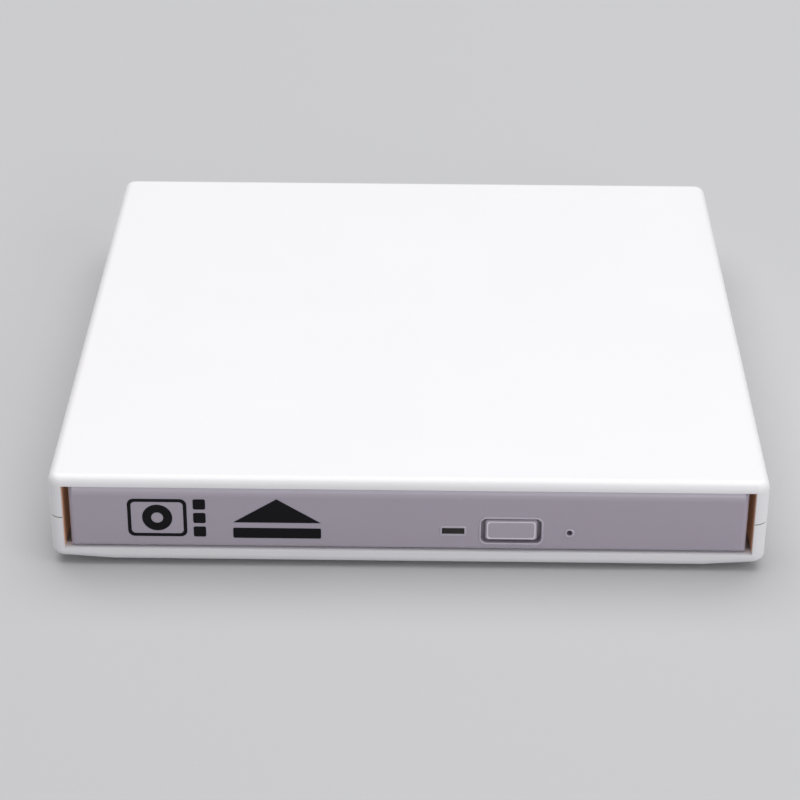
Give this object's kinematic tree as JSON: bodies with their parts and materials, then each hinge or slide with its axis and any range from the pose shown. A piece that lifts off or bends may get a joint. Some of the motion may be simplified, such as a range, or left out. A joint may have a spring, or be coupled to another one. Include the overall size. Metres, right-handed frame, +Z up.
{
  "type": "external dvd drive",
  "caption": "Slim white external optical disc drive with a front tray that slides out, an eject button and sockets at the back.",
  "frame": {"origin": "middle of the footprint at the plane the feet rest on", "axes": "+Z up, +X to the right seen from the front, -Y towards the front, the way the tray opens"},
  "size_m": [0.1378, 0.138, 0.0196],
  "materials": {
    "white_shell": "satin gloss moulded",
    "bezel_plastic": "satin moulded",
    "button_plastic": "satin moulded",
    "foot_rubber": "matte",
    "screw_steel": "zinc plated",
    "board_green": "solder mask",
    "chip_black": "matte epoxy",
    "small_parts": "mixed",
    "connector_black": "matte",
    "socket_metal": "nickel plated",
    "sheet_steel": "galvanised",
    "rail_steel": "smooth",
    "guide_plastic": "smooth",
    "tray_plastic": "fine grain",
    "lens_clear": "smoked clear",
    "led_body": "clear resin",
    "damper_rubber": "soft",
    "rod_steel": "ground",
    "motor_steel": "drawn",
    "hub_plastic": "smooth",
    "pad_rubber": "soft",
    "sled_metal": "die cast",
    "pickup_cover": "black film",
    "lens_glass": "coated",
    "coil_copper": "wound wire",
    "plunger_steel": "turned",
    "cable_film": "flexible film"
  },
  "bodies": {
    "case": {"top_shell": "white_shell", "bottom_shell": "white_shell", "feet": "foot_rubber", "case_screws": "screw_steel", "drive_screws": "screw_steel", "bridge_board": "board_green", "bridge_chip": "chip_black", "bridge_components": "small_parts", "bridge_connector": "connector_black", "drive_connector": "connector_black", "usb_socket_shell": "socket_metal", "usb_socket_tongue": "connector_black", "dc_socket": "connector_black", "dc_socket_pin": "socket_metal", "drive_base": "sheet_steel", "drive_cover": "sheet_steel", "cover_screws": "screw_steel", "left_guide": "guide_plastic", "right_guide": "guide_plastic", "main_board": "board_green", "main_chips": "chip_black", "latch_post": "sheet_steel", "flat_cable": "cable_film"},
    "tray": {"tray": "tray_plastic", "tray_bottom_cover": "sheet_steel", "front_bezel": "bezel_plastic", "led_lens": "lens_clear", "tray_board": "board_green", "eject_switch": "chip_black", "status_led": "led_body", "mechanism_frame": "sheet_steel", "dampers": "damper_rubber", "damper_screws": "screw_steel", "spindle_base": "sheet_steel", "front_guide_rod": "rod_steel", "rear_guide_rod": "rod_steel", "feed_motor": "motor_steel", "screw_bracket": "sheet_steel", "solenoid": "coil_copper", "latch_spring": "plunger_steel"},
    "left_rail": {"left_rail": "rail_steel"},
    "right_rail": {"right_rail": "rail_steel"},
    "eject_button": {"eject_button": "button_plastic"},
    "turntable": {"rotor": "motor_steel", "turntable_hub": "hub_plastic", "disc_pad": "pad_rubber", "clamp_balls": "rod_steel"},
    "pickup": {"sled": "sled_metal", "lens_cover": "pickup_cover", "lens_holder": "pickup_cover", "objective_lens": "lens_glass", "feed_tooth": "hub_plastic"},
    "lead_screw": {"lead_screw": "rod_steel"},
    "latch": {"latch_lever": "hub_plastic"},
    "plunger": {"solenoid_plunger": "plunger_steel"}
  },
  "joints": [
    {"name": "tray_slide", "type": "slide", "parent": "case", "child": "tray", "axis": [0, -1, 0], "range_m": [0, 0.122], "deforming": ["flat_cable"]},
    {"name": "left_rail_slide", "type": "slide", "parent": "case", "child": "left_rail", "axis": [0, -1, 0], "range_m": [0, 0.061]},
    {"name": "right_rail_slide", "type": "slide", "parent": "case", "child": "right_rail", "axis": [0, -1, 0], "range_m": [0, 0.061]},
    {"name": "eject_button_press", "type": "slide", "parent": "tray", "child": "eject_button", "axis": [0, 1, 0], "range_m": [0, 0.0006], "stiffness_N_per_m": 500, "springref_m": -0.0004},
    {"name": "turntable_spin", "type": "hinge", "parent": "tray", "child": "turntable", "pos_m": [0, -0.0044, 0.0123], "axis": [0, 0, 1], "continuous": true},
    {"name": "pickup_slide", "type": "slide", "parent": "tray", "child": "pickup", "axis": [-0.7071, -0.7071, 0], "range_m": [0, 0.0355]},
    {"name": "lead_screw_spin", "type": "hinge", "parent": "tray", "child": "lead_screw", "pos_m": [-0.03359, 0.0009, 0.0103], "axis": [-0.7071, -0.7071, 0], "range_deg": [-1, 4262]},
    {"name": "tray_latch", "type": "hinge", "parent": "tray", "child": "latch", "pos_m": [0.046, -0.05, 0.0092], "axis": [0, 0, 1], "range_deg": [0, 10], "stiffness_Nm_per_rad": 0.002},
    {"name": "plunger_slide", "type": "slide", "parent": "tray", "child": "plunger", "axis": [1, 0, 0], "range_m": [0, 0.00125]}
  ],
  "couplings": [
    {"joint": "left_rail_slide", "follows": "tray_slide", "ratio": 0.5},
    {"joint": "right_rail_slide", "follows": "tray_slide", "ratio": 0.5},
    {"joint": "lead_screw_spin", "follows": "pickup_slide", "rad_per_m": 2094.4},
    {"joint": "tray_latch", "follows": "plunger_slide", "rad_per_m": 138.89}
  ]
}
